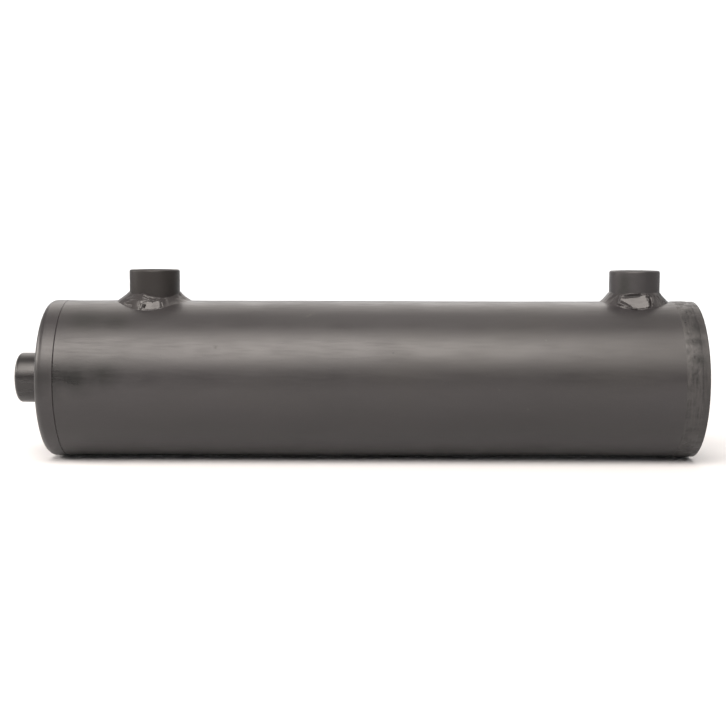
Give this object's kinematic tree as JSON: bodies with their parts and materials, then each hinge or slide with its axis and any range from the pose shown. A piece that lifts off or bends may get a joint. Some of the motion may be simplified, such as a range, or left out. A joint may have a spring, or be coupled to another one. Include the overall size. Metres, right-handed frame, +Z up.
{
  "type": "hydraulic reservoir",
  "caption": "Tubular steel hydraulic reservoir with threaded top ports, an end port on a screw-in head, a welded base, and a suction strainer, baffle and return tube inside.",
  "frame": {"origin": "on the tank axis, halfway between the outer faces of the end head and the base cap", "axes": "+X along the tank axis from the end head with the end port to the welded base; +Z up through the two top ports; +Y away from a viewer who has the end port on the left"},
  "size_m": [0.4954, 0.1154, 0.1375],
  "materials": {
    "shell_coating": "satin black-grey coating over pipe and turned ends",
    "boss_coating": "satin black-grey coating over turned bar",
    "weld_coating": "satin black-grey coating over weld bead",
    "bare_weld": "uncoated weld metal with heat tint",
    "bare_plate": "oiled hot-rolled plate",
    "bare_pipe": "oiled drawn pipe",
    "seal_rubber": "smooth nitrile rubber",
    "turned_collar": "turned and zinc plated hexagon",
    "plated_sheet": "zinc plated pressed sheet",
    "wire_mesh": "stainless woven wire",
    "spring_wire": "bright spring wire",
    "moulded_poppet": "moulded nylon"
  },
  "bodies": {
    "tank": {"shell_tube": "shell_coating", "left_port_boss": "boss_coating", "left_port_weld": "weld_coating", "right_port_boss": "boss_coating", "right_port_weld": "weld_coating", "base_cap": "shell_coating", "base_weld": "weld_coating", "baffle_plate": "bare_plate", "baffle_tacks": "bare_weld", "return_drop_tube": "bare_pipe", "drop_tube_weld": "bare_weld"},
    "head_seal": {"head_oring": "seal_rubber"},
    "end_head_assembly": {"end_head": "shell_coating", "end_port_boss": "boss_coating", "end_port_weld": "bare_weld", "strainer_collar": "turned_collar", "strainer_top_cap": "plated_sheet", "strainer_end_cap": "plated_sheet", "strainer_core_tube": "plated_sheet", "strainer_mesh": "wire_mesh", "bypass_cage": "plated_sheet", "bypass_spring": "spring_wire"},
    "bypass_valve": {"bypass_poppet": "moulded_poppet"}
  },
  "joints": [
    {"name": "head_draw", "type": "slide", "parent": "tank", "child": "head_seal", "axis": [-1, 0, 0], "range_m": [0, 0.018]},
    {"name": "head_turn", "type": "hinge", "parent": "head_seal", "child": "end_head_assembly", "pos_m": [-0.2357, 0, 0], "axis": [-1, 0, 0], "range_deg": [0, 2160]},
    {"name": "bypass_lift", "type": "slide", "parent": "end_head_assembly", "child": "bypass_valve", "axis": [-1, 0, 0], "range_m": [0, 0.004], "stiffness_N_per_m": 400, "springref_m": -0.008, "deforming": ["bypass_spring"]}
  ],
  "couplings": [
    {"joint": "head_draw", "follows": "head_turn", "m_per_rad": 0.00047746}
  ]
}
